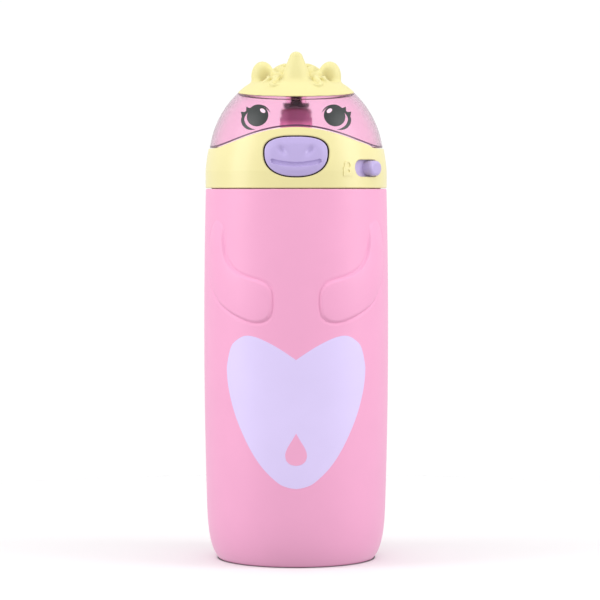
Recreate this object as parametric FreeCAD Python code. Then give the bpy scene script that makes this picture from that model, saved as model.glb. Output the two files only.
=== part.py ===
"""Kids' insulated water bottle with a flip-up dome lid, a push button and a slide lock.

Frame: millimetres, +Z up, the front faces -Y, and the origin is the centre of the base on the floor.
The steel bottle is a double-walled vessel in a soft sleeve. The lid screws on over a gasket: a thread
on the bottle's neck engages a thread in the lid's core. A see-through dome turns on a pin at the back
of the lid, covers a drinking spout, and carries a soft topper with a horn, ears and a curly mane.
"""
import FreeCAD, Part

import math
import os

V = FreeCAD.Vector
UP = V(0, 0, 1)

# ---------------------------------------------------------------- driving dimensions
BARREL_MID_R = 36.2          # widest radius of the sleeve
BARREL_MID_Z = 80.0
BARREL_LOW_R = 35.15         # where the barrel runs into the rounded foot
BARREL_LOW_Z = 20.0
BARREL_TOP_R = 35.5
SLEEVE_TOP_Z = 145.2
FOOT_R = 30.7                # radius of the foot's outer edge on the floor
SLEEVE_T = 1.5               # sleeve wall
SLEEVE_HOLE_R = 22.0         # opening under the base
ARM_RAISE = 0.9              # relief of the two folded arms on the sleeve

SHELL_T = 0.6                # outer steel wall
VESSEL_T = 0.5               # inner steel wall
VACUUM_GAP = 2.4
VESSEL_FLOOR_Z = 7.0
SLACK = 0.05                 # between pieces that sit tight against each other

NECK_R = 25.6
NECK_TOP_Z = 156.6
SHOULDER_Z = 144.9
MOUTH_R = 24.4
RIM_Z = 157.2

THREAD_PITCH = 5.0           # rise for each turn of the lid
THREAD_CREST = 27.1
THREAD_START_Z = 148.6
THREAD_TURNS = 1.25
LID_THREAD_CREST = 26.1
LID_THREAD_ROOT = 27.5
LID_THREAD_DROP = 1.85       # the lid's thread runs this far under the neck's

RING_R = 35.6                # lid ring, outside
RING_T = 1.8
RING_LOW_Z = 145.5
RING_RIB = (31.8, 145.1, 147.6)  # inner radius, low and high of the rib that covers the seam
RING_EDGE_Z = 160.9          # its top edge at the sides and back
EDGE_RISE = 7.8              # how much higher that edge climbs at the front
EDGE_HALF_ANGLE = 72.0       # the climb starts this far round from the front
DECK_Z = 158.8
DECK_TOP_Z = 160.3
SKIRT_R = 29.3
SKIRT_LOW_Z = 146.3
PLUG_R = (21.4, 22.6)        # inside and outside of the short wall that carries the gasket
PLUG_LOW_Z = 153.6
HOUSING_HALF = 9.5           # latch housing behind the button
HOUSING_BACK_Y = -21.8
HOUSING_TOP_Z = 167.0
HOUSING_T = 1.2

DOME_A = 34.2                # the dome's outside is an ellipse: half its width,
DOME_C = 35.4                # its height,
DOME_BASE_Z = 156.4          # and the height of its centre
DOME_T = 1.8
DOME_GAP = 0.4               # between the dome's edge and the ring's
CROWN_Z = 182.9              # the topper's lower edge, above the axis
CROWN_TILT = 0.098           # which slopes down towards the front
CROWN_STEP = 1.4             # depth of the seat that the topper sits in
CROWN_TOP_Z = 185.9          # the dome is flat above this, under the topper
TOPPER_FLAT_Z = 187.6        # flat top of the topper, between its horn, ears and mane

HINGE_Y = 33.0
HINGE_Z = 162.0
HINGE_R = 2.4
HINGE_HALF = 11.1            # half the length of the whole hinge
PIN_R = 1.0

BUTTON_Z = 158.8             # height of the button's widest place
BUTTON_HALF_W = 12.55        # opening in the ring
BUTTON_UP = 6.66
BUTTON_DOWN = 9.28
BUTTON_GAP = 0.45
BUTTON_T = 2.0
BUTTON_CROWN = 0.55
LIP_IN = RING_T + 0.95       # how deep the back of the button's lip lies
TAB_HALF = 6.1               # the dome's latch tab
TAB_Y = (-28.4, -26.9)
TAB_LOW_Z = 161.3
LATCH_Z = (162.9, 164.9)

LOCK_ANGLE = 52.0            # middle of the lock's slot, degrees round from the front to +X
LOCK_Z = 153.1
LOCK_SLOT_HALF = 7.4
LOCK_SLOT_H = 6.5
KNOB_ANGLE = 56.5
KNOB_HALF = 4.1
KNOB_H = 5.9

VENT_Y = 12.0
SPRING_X = 6.0               # the two springs behind the button
SPRING_Z = 153.5
SPOUT_Y = -8.0
SPOUT_TOP_Z = 176.3
SEAL_TOP_Z = 178.4
STRAW_R = 3.5
STRAW_BORE_R = 2.6
STRAW_LOW_Z = 10.5
STRAW_TOP_Z = 157.0

HORN_Y = -12.0
HORN_TIP_Z = 198.4
STEM_Y = 9.0                 # the stem under the topper that holds it on
STEM_R = 2.5
STEM_LOW_Z = 182.2
STEM_BOSS_Z = 184.3


# ---------------------------------------------------------------- helpers
def at(r, z):
    """A point of a profile that is turned about the vertical axis."""
    return V(r, 0, z)


def line(a, b):
    return Part.makeLine(at(*a), at(*b))


def arc(a, middle, b):
    return Part.Arc(at(*a), at(*middle), at(*b)).toShape()


def bezier(*poles):
    curve = Part.BezierCurve()
    curve.setPoles([at(*p) for p in poles])
    return curve.toShape()


def turned(edges, axis_x=0.0, axis_y=0.0):
    """The solid swept by a closed profile turned about a vertical axis."""
    wire = Part.Wire(Part.__sortEdges__(list(edges)))
    solid = Part.Face(wire).revolve(V(0, 0, 0), UP, 360)
    solid.translate(V(axis_x, axis_y, 0))
    return solid


def turned_polygon(points, axis_x=0.0, axis_y=0.0):
    loop = zip(points, points[1:] + points[:1])
    return turned([line(a, b) for a, b in loop], axis_x, axis_y)


def box(x, y, z):
    """A box from its low and high limits along each axis."""
    return Part.makeBox(x[1] - x[0], y[1] - y[0], z[1] - z[0], V(x[0], y[0], z[0]))


def rod(r, start, direction, length):
    return Part.makeCylinder(r, length, V(*start), V(*direction))


def ellipsoid(centre, radii, lean=None):
    """A ball stretched to three radii. lean turns it about its centre: (axis, degrees)."""
    ball = Part.makeSphere(1.0)
    stretch = FreeCAD.Matrix()
    stretch.scale(*radii)
    ball = ball.transformGeometry(stretch)
    if lean:
        ball.rotate(V(0, 0, 0), V(*lean[0]), lean[1])
    ball.translate(V(*centre))
    return ball


def fused(first, *others):
    """One solid from several that overlap, with the seams between them cleaned away."""
    return first.fuse(list(others)).removeSplitter()


def outward(shape, degrees):
    """Turns a shape made at the front of the lid round to the given angle, towards +X."""
    turned_shape = shape.copy()
    turned_shape.rotate(V(0, 0, 0), UP, degrees)
    return turned_shape


def rounded(shape, radius, surface_r, heights, angles=(-180, 180)):
    """Rounds the edges that lie on a surface of revolution, between two heights and two angles."""
    def chosen(edge):
        points = edge.discretize(9)
        on_it = all(abs(math.hypot(p.x, p.y) - surface_r(p.z)) < 0.03 for p in points)
        inside = all(heights[0] <= p.z <= heights[1] for p in points)
        turns = [math.degrees(math.atan2(p.x, -p.y)) for p in points]
        return on_it and inside and angles[0] <= min(turns) and max(turns) <= angles[1]

    return shape.makeFillet(radius, [edge for edge in shape.Edges if chosen(edge)])


def save(node, *solids):
    shape = solids[0] if len(solids) == 1 else Part.makeCompound(list(solids))
    volume = sum(s.Volume for s in shape.Solids)
    print(f"{node}: {len(shape.Solids)} solid, valid {shape.isValid()}, {volume:.0f} mm3")
    shape.exportStep(f"parts/{node}.step")


# ---------------------------------------------------------------- the barrel's outline
def circle_through(p, q, s):
    """Centre and radius of the circle through three profile points."""
    (ax, ay), (bx, by), (cx, cy) = p, q, s
    d = 2 * (ax * (by - cy) + bx * (cy - ay) + cx * (ay - by))
    a2, b2, c2 = ax * ax + ay * ay, bx * bx + by * by, cx * cx + cy * cy
    ux = (a2 * (by - cy) + b2 * (cy - ay) + c2 * (ay - by)) / d
    uy = (a2 * (cx - bx) + b2 * (ax - cx) + c2 * (bx - ax)) / d
    return ux, uy, math.hypot(ax - ux, ay - uy)


BARREL = circle_through(
    (BARREL_LOW_R, BARREL_LOW_Z), (BARREL_MID_R, BARREL_MID_Z), (BARREL_TOP_R, SLEEVE_TOP_Z)
)


def barrel_r(z):
    cx, cz, radius = BARREL
    return cx + math.sqrt(radius * radius - (z - cz) ** 2)


def barrel_side(inset, low, top):
    """The barrel's slightly bulging side, inset from the sleeve's outside."""
    middle = (low + top) / 2
    return arc(*[(barrel_r(z) - inset, z) for z in (low, middle, top)])


def foot_curve(inset):
    """The rounded foot below the barrel, from the floor up to the barrel's low end."""
    return bezier(
        (FOOT_R - 1.1 * inset, inset),
        (33.6 - inset, 3.6 + 0.9 * inset),
        (34.78 - inset, 9.5 + 0.3 * inset),
        (BARREL_LOW_R - inset, BARREL_LOW_Z),
    )


def outline(points_xz, y0, y1):
    """A prism along Y whose end is a smooth closed curve through (x, z) points."""
    curve = Part.BSplineCurve()
    curve.interpolate([V(x, y0, z) for x, z in points_xz], PeriodicFlag=True)
    return Part.Face(Part.Wire(curve.toShape())).extrude(V(0, y1 - y0, 0))


# ---------------------------------------------------------------- bottle
def make_arm(side):
    """One folded arm: it hangs at the side, bends at the elbow and ends in a mitten at the front."""
    points = [
        (-28.8, 131.0), (-27.6, 123.0), (-25.4, 116.0), (-22.0, 112.8), (-16.0, 110.5),
        (-11.6, 108.0), (-9.2, 104.0), (-9.2, 99.0), (-11.2, 95.4), (-15.5, 94.0),
        (-22.0, 95.4), (-28.0, 98.8), (-31.4, 103.4), (-33.0, 109.5), (-33.6, 118.0),
        (-33.4, 127.0), (-31.4, 132.6),
    ]
    prism = outline([(side * x, z) for x, z in points], -60.0, 0.0)
    low, top = 85.0, 140.0
    skin = turned([
        barrel_side(SLEEVE_T / 2, low, top),
        line((barrel_r(top) - SLEEVE_T / 2, top), (barrel_r(top) + ARM_RAISE, top)),
        barrel_side(-ARM_RAISE, low, top),
        line((barrel_r(low) + ARM_RAISE, low), (barrel_r(low) - SLEEVE_T / 2, low)),
    ])
    return rounded(prism.common(skin), 0.5, lambda z: barrel_r(z) + ARM_RAISE, (low, top))


def make_sleeve():
    top = SLEEVE_TOP_Z
    edge = 0.5
    outer_top, inner_top = barrel_r(top - edge), barrel_r(top) - SLEEVE_T
    wall = turned([
        foot_curve(0),
        barrel_side(0, BARREL_LOW_Z, top - edge),
        arc((outer_top, top - edge), (outer_top - 0.15, top - 0.15), (outer_top - edge, top)),
        line((outer_top - edge, top), (inner_top, top)),
        barrel_side(SLEEVE_T, BARREL_LOW_Z, top),
        foot_curve(SLEEVE_T),
        line((FOOT_R - 1.1 * SLEEVE_T, SLEEVE_T), (SLEEVE_HOLE_R, SLEEVE_T)),
        line((SLEEVE_HOLE_R, SLEEVE_T), (SLEEVE_HOLE_R, 0)),
        line((SLEEVE_HOLE_R, 0), (FOOT_R, 0)),
    ])
    return fused(wall, make_arm(1), make_arm(-1))


def thread_ridge(root, crest, start_z, start_angle, turns):
    """A helical ridge with a trapezium section. Its root lies inside the wall that carries it."""
    wide, narrow = 1.1, 0.6
    helix = Part.makeHelix(THREAD_PITCH, THREAD_PITCH * turns, (root + crest) / 2)
    corners = [(root, -wide), (crest, -narrow), (crest, narrow), (root, wide)]
    section = Part.makePolygon([at(r, z) for r, z in corners + corners[:1]])
    ridge = Part.Wire(helix).makePipeShell([section], True, True)
    ridge.rotate(V(0, 0, 0), UP, start_angle)
    ridge.translate(V(0, 0, start_z))
    return Part.makeSolid(ridge) if not ridge.Solids else ridge.Solids[0]


def make_outer_shell():
    skin = SLEEVE_T + SLACK
    inner = skin + SHELL_T
    turn_z = 141.5
    base_r = 25.0
    wall = turned([
        foot_curve(skin),
        barrel_side(skin, BARREL_LOW_Z, turn_z),
        arc((barrel_r(turn_z) - skin, turn_z), (33.1, 143.9), (30.6, SHOULDER_Z)),
        line((30.6, SHOULDER_Z), (NECK_R + 0.8, SHOULDER_Z)),
        arc((NECK_R + 0.8, SHOULDER_Z), (NECK_R + 0.23, SHOULDER_Z + 0.23), (NECK_R, SHOULDER_Z + 0.8)),
        line((NECK_R, SHOULDER_Z + 0.8), (NECK_R, NECK_TOP_Z)),
        line((NECK_R, NECK_TOP_Z), (NECK_R - SHELL_T, NECK_TOP_Z)),
        line((NECK_R - SHELL_T, NECK_TOP_Z), (NECK_R - SHELL_T, SHOULDER_Z - SHELL_T)),
        line((NECK_R - SHELL_T, SHOULDER_Z - SHELL_T), (30.5, SHOULDER_Z - SHELL_T)),
        arc((30.5, SHOULDER_Z - SHELL_T), (32.6, 143.4), (barrel_r(turn_z) - inner, turn_z)),
        barrel_side(inner, BARREL_LOW_Z, turn_z),
        foot_curve(inner),
        line((FOOT_R - 1.1 * inner, inner), (base_r, inner)),
        line((base_r, inner), (base_r, skin)),
        line((base_r, skin), (FOOT_R - 1.1 * skin, skin)),
    ])
    thread = thread_ridge(NECK_R - 0.2, THREAD_CREST, THREAD_START_Z, 0.0, THREAD_TURNS)
    return fused(wall, thread)


def make_inner_vessel():
    outside = SLEEVE_T + SLACK + SHELL_T + VACUUM_GAP
    inside = outside + VESSEL_T
    low, top = 16.0, 136.0
    floor, thick = VESSEL_FLOOR_Z, VESSEL_T
    low_r, top_r = barrel_r(low), barrel_r(top)
    neck = MOUTH_R + VESSEL_T
    return turned([
        line((0, floor), (23.0, floor)),
        bezier((23.0, floor), (27.5, floor), (low_r - outside, 10.5), (low_r - outside, low)),
        barrel_side(outside, low, top),
        bezier((top_r - outside, top), (top_r - outside, 140.5), (neck, 138.5), (neck, 143.5)),
        line((neck, 143.5), (neck, NECK_TOP_Z + SLACK)),
        line((neck, NECK_TOP_Z + SLACK), (NECK_R, NECK_TOP_Z + SLACK)),
        arc((NECK_R, NECK_TOP_Z + SLACK), (25.0, RIM_Z), (MOUTH_R, NECK_TOP_Z + SLACK)),
        line((MOUTH_R, NECK_TOP_Z + SLACK), (MOUTH_R, 143.5)),
        bezier((MOUTH_R, 143.5), (MOUTH_R, 138.0), (top_r - inside, 140.0), (top_r - inside, top)),
        barrel_side(inside, low, top),
        bezier((low_r - inside, low), (low_r - inside, 10.9), (27.3, floor + thick), (22.9, floor + thick)),
        line((22.9, floor + thick), (0, floor + thick)),
        line((0, floor + thick), (0, floor)),
    ])


def make_base_cap():
    """The welded disc that closes the outer shell, dished up in the middle."""
    flange_z = SLEEVE_T + SLACK + SHELL_T + SLACK
    t = SHELL_T
    return turned([
        line((0, 4.2), (14.0, 4.2)),
        bezier((14.0, 4.2), (18.0, 4.2), (18.0, flange_z), (22.0, flange_z)),
        line((22.0, flange_z), (27.0, flange_z)),
        line((27.0, flange_z), (27.0, flange_z + t)),
        line((27.0, flange_z + t), (22.0, flange_z + t)),
        bezier((22.0, flange_z + t), (18.4, flange_z + t), (18.4, 4.2 + t), (14.0, 4.2 + t)),
        line((14.0, 4.2 + t), (0, 4.2 + t)),
        line((0, 4.2 + t), (0, 4.2)),
    ])


# ---------------------------------------------------------------- lid ring and its openings
RING_PROFILE = circle_through((RING_R, 152.0), (34.75, 159.0), (32.4, 168.6))


def ring_r(z):
    """Outer radius of the lid ring: upright below, curving in towards the dome above."""
    if z <= 152.0:
        return RING_R
    cx, cz, radius = RING_PROFILE
    return cx + math.sqrt(radius * radius - (z - cz) ** 2)


def ring_band(inset_out, inset_in, low, top):
    """A turned band that follows the lid ring's outside."""
    bend = 152.0
    middle = (bend + top) / 2
    out = [(ring_r(z) - inset_out, z) for z in (low, bend, middle, top)]
    inn = [(ring_r(z) - inset_in, z) for z in (low, bend, middle, top)]
    return turned([
        line(out[0], out[1]),
        arc(out[1], out[2], out[3]),
        line(out[3], inn[3]),
        arc(inn[3], inn[2], inn[1]),
        line(inn[1], inn[0]),
        line(inn[0], out[0]),
    ])


def edge_rise(x):
    """Height of the front climb of the ring's top edge at a distance from the middle."""
    reach = DOME_A * math.sin(math.radians(EDGE_HALF_ANGLE))
    if abs(x) >= reach:
        return 0.0
    share = math.degrees(math.asin(x / DOME_A)) / EDGE_HALF_ANGLE
    return EDGE_RISE * math.cos(math.pi / 2 * share) ** 2


def above_edge(lift):
    """All the space over the ring's top edge, moved up by lift: it climbs at the front only."""
    high, far, step = 230.0, 45.0, 16
    reach = DOME_A * math.sin(math.radians(EDGE_HALF_ANGLE))
    base = RING_EDGE_Z + lift
    xs = [-reach + 2 * reach * k / step for k in range(step + 1)]
    curve = Part.BSplineCurve()
    curve.interpolate(
        [V(x, -50, base + edge_rise(x)) for x in xs], InitialTangent=V(1, 0, 0), FinalTangent=V(1, 0, 0)
    )
    corners = [V(reach, -50, base), V(far, -50, base), V(far, -50, high), V(-far, -50, high)]
    corners += [V(-far, -50, base), V(-reach, -50, base)]
    wire = Part.Wire([curve.toShape()] + [Part.makeLine(a, b) for a, b in zip(corners, corners[1:])])
    front = Part.Face(wire).extrude(V(0, 50, 0))
    back = box((-far, far), (0, 50), (base, high))
    return front.fuse(back)


def snout_points(inset):
    """The button's outline: a rounded snout, fuller at the top than below."""
    points = []
    count = 28
    for k in range(count):
        angle = 2 * math.pi * k / count
        c, s = math.cos(angle), math.sin(angle)
        power, height = (2.75, BUTTON_UP) if s > 0 else (2.3, BUTTON_DOWN)
        x = (BUTTON_HALF_W - inset) * math.copysign(abs(c) ** (2 / power), c)
        z = BUTTON_Z + (height - inset) * math.copysign(abs(s) ** (2 / power), s)
        points.append((x, z))
    return points


def stadium(half_length, height, z, y0, y1):
    """A prism along Y with straight sides and round ends, lying level."""
    r = height / 2
    flat = half_length - r
    edges = [
        Part.makeLine(V(-flat, y0, z + r), V(flat, y0, z + r)),
        Part.Arc(V(flat, y0, z + r), V(half_length, y0, z), V(flat, y0, z - r)).toShape(),
        Part.makeLine(V(flat, y0, z - r), V(-flat, y0, z - r)),
        Part.Arc(V(-flat, y0, z - r), V(-half_length, y0, z), V(-flat, y0, z + r)).toShape(),
    ]
    return Part.Face(Part.Wire(edges)).extrude(V(0, y1 - y0, 0))


def padlock_relief():
    """A plain closed-padlock mark, raised on the ring beside the lock."""
    body = box((-2.2, 2.2), (-40, -30), (LOCK_Z - 2.9, LOCK_Z + 0.5))
    shackle = rod(1.65, (0, -40, LOCK_Z + 1.2), (0, 1, 0), 10)
    shackle = fused(shackle, box((-1.65, 1.65), (-40, -30), (LOCK_Z + 0.3, LOCK_Z + 1.2)))
    hole = rod(0.95, (0, -40, LOCK_Z + 1.2), (0, 1, 0), 10)
    hole = fused(hole, box((-0.95, 0.95), (-40, -30), (LOCK_Z + 0.5, LOCK_Z + 1.2)))
    keyhole = rod(0.6, (0, -40, LOCK_Z - 1.1), (0, 1, 0), 10)
    mark = fused(body, shackle).cut(fused(hole, keyhole))
    return outward(mark, 34.0).common(ring_band(-0.3, 0.5, 148.0, 158.0))


def hinge_lug(x0, x1):
    """An ear of the ring that holds the hinge pin."""
    eye = rod(HINGE_R, (x0, HINGE_Y, HINGE_Z), (1, 0, 0), x1 - x0)
    foot = box((x0, x1), (32.2, 34.4), (157.6, HINGE_Z))
    hole = rod(PIN_R + SLACK, (x0 - 1, HINGE_Y, HINGE_Z), (1, 0, 0), x1 - x0 + 2)
    return fused(eye, foot).cut(hole)


def make_lid_ring():
    edge = 0.4
    wall = ring_band(0, RING_T, RING_LOW_Z, 169.4).cut(above_edge(0))
    wall = rounded(wall, edge, ring_r, (RING_EDGE_Z - 0.1, 170))
    wall = rounded(wall, edge, ring_r, (RING_LOW_Z - 0.1, RING_LOW_Z + 0.1))
    wall = wall.cut(outline(snout_points(0), -45, -20))
    wall = rounded(wall, edge, ring_r, (149, 167), (-22, 22))
    wall = wall.cut(outward(stadium(LOCK_SLOT_HALF, LOCK_SLOT_H, LOCK_Z, -45, -28), LOCK_ANGLE))
    wall = rounded(wall, edge, ring_r, (149, 157), (LOCK_ANGLE - 13, LOCK_ANGLE + 13))
    wall = wall.cut(box((-HINGE_HALF, HINGE_HALF), (25, 45), (159.0, 175)))
    inner, low, high = RING_RIB
    outer = RING_R - RING_T + 0.1
    rib = turned_polygon([(inner, low), (outer - 1.0, low), (outer, low + 0.8), (outer, high), (inner, high)])
    lugs = [hinge_lug(-HINGE_HALF, -7.3), hinge_lug(7.3, HINGE_HALF)]
    return fused(wall, rib, padlock_relief(), *lugs)


# ---------------------------------------------------------------- lid core and what it holds
def short_wall(inner, outer, low, high):
    return turned_polygon([(inner, low), (outer, low), (outer, high), (inner, high)])


def make_lid_core():
    """The moulding inside the ring: deck, threaded skirt, gasket plug and the latch housing."""
    inside_ring = ring_band(RING_T + SLACK, 20.0, 150.0, 168.4)
    deck = rod(RING_R, (0, 0, DECK_Z), (0, 0, 1), DECK_TOP_Z - DECK_Z)
    deck = deck.common(inside_ring.fuse(rod(20.1, (0, 0, 150), (0, 0, 1), 20)))
    wall_top = DECK_Z + 0.5
    skirt = short_wall(LID_THREAD_ROOT, SKIRT_R, SKIRT_LOW_Z, wall_top)
    plug = short_wall(*PLUG_R, PLUG_LOW_Z, wall_top)
    start_z = THREAD_START_Z - 1.0
    lead_in = (start_z - THREAD_START_Z + LID_THREAD_DROP) / THREAD_PITCH * 360
    thread = thread_ridge(LID_THREAD_ROOT + 0.2, LID_THREAD_CREST, start_z, lead_in, 1.0)
    half, back, top = HOUSING_HALF, HOUSING_BACK_Y, HOUSING_TOP_Z
    housing = box((-half, half), (-40, back), (DECK_TOP_Z - 0.5, top)).common(inside_ring)
    tray = box((-12.6, 12.6), (26, 40), (156.2, wall_top))
    tray = tray.common(inside_ring).cut(rod(SKIRT_R - 0.1, (0, 0, 150), (0, 0, 1), 20))
    bosses = [rod(2.4, (x, -28, SPRING_Z), (0, -1, 0), 1.05) for x in (-SPRING_X, SPRING_X)]
    core = fused(deck, skirt, plug, thread, housing, tray, *bosses)
    rooms = [
        box((HOUSING_T - half, half - HOUSING_T), (-40, back - 1.0), (DECK_TOP_Z, top - HOUSING_T)),
        box((-6.6, 6.6), (-30.6, -25.2), (165, 168)),
        box((-14.8, 14.8), (-40, -27.5), (DECK_Z, 168)),
        box((-11.4, 11.4), (30.1, 40), (157.4, 170)),
        rod(5.0, (0, SPOUT_Y, 150), (0, 0, 1), 20),
        rod(1.7, (0, VENT_Y, 150), (0, 0, 1), 20),
    ]
    for room in rooms:
        core = core.cut(room)
    return core


def make_gasket():
    """Soft ring between the lid and the bottle's rim, with a ribbed lip that goes into the mouth."""
    return turned_polygon([
        (22.7, 158.7), (26.4, 158.7), (26.4, RIM_Z + 0.3), (24.3, RIM_Z + 0.3), (23.9, 156.4),
        (24.1, 156.0), (23.8, 155.5), (24.1, 155.1), (23.6, 154.2), (22.7, 154.2),
    ])


def make_spout():
    """Soft drinking spout: tip above the deck, and a stem below it that takes the straw."""
    top, bore, stem = SPOUT_TOP_Z, 2.4, 4.9
    seat, under, socket = DECK_TOP_Z + SLACK, DECK_Z - SLACK, STRAW_R + SLACK
    return turned([
        line((bore, top), (4.6, top)),
        arc((4.6, top), (5.6, top - 0.45), (6.0, top - 1.4)),
        arc((6.0, top - 1.4), (5.7, top - 5.5), (6.1, 165.5)),
        line((6.1, 165.5), (6.3, 163.6)),
        arc((6.3, 163.6), (6.9, 162.6), (9.2, 162.0)),
        line((9.2, 162.0), (9.2, seat)),
        line((9.2, seat), (stem, seat)),
        line((stem, seat), (stem, under)),
        line((stem, under), (6.0, under - 0.6)),
        line((6.0, under - 0.6), (5.0, 149.0)),
        line((5.0, 149.0), (socket, 149.0)),
        line((socket, 149.0), (socket, STRAW_TOP_Z + SLACK)),
        line((socket, STRAW_TOP_Z + SLACK), (bore, STRAW_TOP_Z + SLACK)),
        line((bore, STRAW_TOP_Z + SLACK), (bore, top)),
    ], axis_y=SPOUT_Y)


def make_straw():
    low = STRAW_LOW_Z
    tube = turned_polygon([
        (STRAW_BORE_R, low), (STRAW_R, low), (STRAW_R, STRAW_TOP_Z), (STRAW_BORE_R, STRAW_TOP_Z)
    ], axis_y=SPOUT_Y)
    notch = rod(1.6, (-10, SPOUT_Y, low), (1, 0, 0), 20)
    return tube.cut(notch)


def make_vent_valve():
    """Soft mushroom valve that lets air in while someone drinks."""
    return turned_polygon([
        (0, DECK_TOP_Z + 1.3), (1.4, DECK_TOP_Z + 1.3), (3.4, DECK_TOP_Z + SLACK),
        (1.6, DECK_TOP_Z + SLACK), (1.6, DECK_Z - SLACK), (2.3, DECK_Z - 0.6),
        (0.9, DECK_Z - 3.0), (0, DECK_Z - 3.0),
    ], axis_y=VENT_Y)


def make_hinge_pin():
    return rod(PIN_R, (-10.9, HINGE_Y, HINGE_Z), (1, 0, 0), 21.8)


def coil(radius, wire_r, pitch, turns, start, direction):
    """A round wire coiled about a line."""
    helix = Part.makeHelix(pitch, pitch * turns, radius)
    ring = Part.Wire(Part.Circle(V(radius, 0, 0), V(0, 1, 0), wire_r).toShape())
    swept = Part.Wire(helix).makePipeShell([ring], True, True)
    solid = swept.Solids[0] if swept.Solids else Part.makeSolid(swept)
    turn = FreeCAD.Rotation(UP, V(*direction))
    solid.Placement = FreeCAD.Placement(V(*start), turn).multiply(solid.Placement)
    return solid


def make_dome_spring():
    """Torsion spring round the hinge pin: one leg lies on the deck, the other inside the dome."""
    wire, radius, half, turns = 0.25, 1.45, 2.0, 4.75
    body = coil(radius, wire, 2 * half / turns, turns, (-half, HINGE_Y, HINGE_Z), (1, 0, 0))
    overlap = 0.2
    lower_leg = rod(wire, (-half, HINGE_Y + overlap, HINGE_Z - radius), (0, -1, 0.02), 5.7)
    upper_leg = rod(wire, (half, HINGE_Y - radius, HINGE_Z - overlap), (0, -0.24, 1), 4.8)
    return fused(body, lower_leg, upper_leg)


def make_button_spring(x):
    back, front, wire, turns = 29.1, 31.7, 0.2, 2.75
    pitch = (front - back - 2 * wire) / turns
    return coil(1.8, wire, pitch, turns, (x, -back - wire, SPRING_Z), (0, -1, 0))


# ---------------------------------------------------------------- button, latch and lock
def make_button():
    """The snout-shaped push button. A lip behind the ring keeps it from falling out."""
    plate = outline(snout_points(BUTTON_GAP), -45, -25)
    body = plate.common(ring_band(0, BUTTON_T, 147.5, 167.5))
    crown = outline(snout_points(BUTTON_GAP + 1.3), -45, -25)
    crown = crown.common(ring_band(-BUTTON_CROWN, 1.0, 147.5, 167.5))
    crown = rounded(crown, 0.45, lambda z: ring_r(z) + BUTTON_CROWN, (147.6, 167.4), (-22, 22))
    lip = outline(snout_points(-1.0), -45, -25)
    lip = lip.common(ring_band(RING_T + 0.15, LIP_IN, 147.5, 167.5))
    button = fused(body, crown, lip)
    smile = Part.makeTorus(25.0, 0.75, V(0, -35.9, 179.1), V(0, 1, 0))
    button = button.cut(smile.common(box((-8.9, 8.9), (-40, -30), (150.0, 157.6))))
    for side in (-1, 1):
        nostril = ellipsoid((side * 5.2, -36.2, 160.6), (0.9, 1.0, 1.9), ((0, 1, 0), side * 32))
        button = button.cut(nostril)
    return button


def make_latch():
    """A frame behind the button. Its rear bar hooks the dome's tab until the button is pressed."""
    back = -24.5
    arms = [box(x, (-33.0, back), LATCH_Z) for x in ((-7.9, -6.7), (6.7, 7.9))]
    bar = box((-7.9, 7.9), (back - 1.0, back), LATCH_Z)
    return fused(bar, *arms).common(ring_band(LIP_IN + SLACK, 20.0, 150.0, 168.4))


def arc_band(inset_out, inset_in, low, top, start, end):
    """A piece of a band along the ring's inside, between two angles round from the front."""
    wedge = Part.makeCylinder(45, 30, V(0, 0, 140), UP, end - start)
    wedge.rotate(V(0, 0, 0), UP, start - 90)
    return ring_band(inset_out, inset_in, low, top).common(wedge)


def make_lock_slider():
    """Thumb slider: a pad behind the slot, a knob out through it, and a finger beside the button."""
    pad = arc_band(RING_T + 0.15, 3.0, 149.3, 156.9, 38.5, 75.5)
    finger = arc_band(2.95, 3.75, 153.0, 157.4, 36.0, 60.0)
    knob = stadium(KNOB_HALF, KNOB_H, LOCK_Z, -37.4, -33.0)
    knob = knob.makeFillet(1.4, [e for e in knob.Edges if e.BoundBox.YMax < -37.3])
    return fused(pad, finger, outward(knob, KNOB_ANGLE))


def make_lock_retainer():
    """Curved clip that holds the slider against the inside of the ring."""
    clip = arc_band(RING_T + SLACK, 4.7, 148.4, 158.2, 25.6, 78.5)
    channel = arc_band(1.0, 4.0, 148.0, 158.5, 28.2, 76.5)
    finger_way = arc_band(1.0, 4.0, 152.6, 157.8, 20.0, 40.0)
    return clip.cut(channel).cut(finger_way)


# ---------------------------------------------------------------- dome and topper
def dome_ball(inset):
    """The ellipse of the dome's outside, inset, turned into a solid."""
    return ellipsoid((0, 0, DOME_BASE_Z), (DOME_A - inset, DOME_A - inset, DOME_C - inset))


def flat_ball(inset, top):
    """The dome's ellipse, inset and cut flat at a height."""
    half = 60.0
    return dome_ball(inset).cut(box((-half, half), (-half, half), (top, top + half)))


def above_crown(drop):
    """All the space over the sloping lower edge of the topper, moved down by drop."""
    half = 60.0
    block = box((-half, half), (-half, half), (0, 60))
    block.rotate(V(0, 0, 0), V(1, 0, 0), math.degrees(math.atan(CROWN_TILT)))
    block.translate(V(0, 0, CROWN_Z - drop))
    return block


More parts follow.
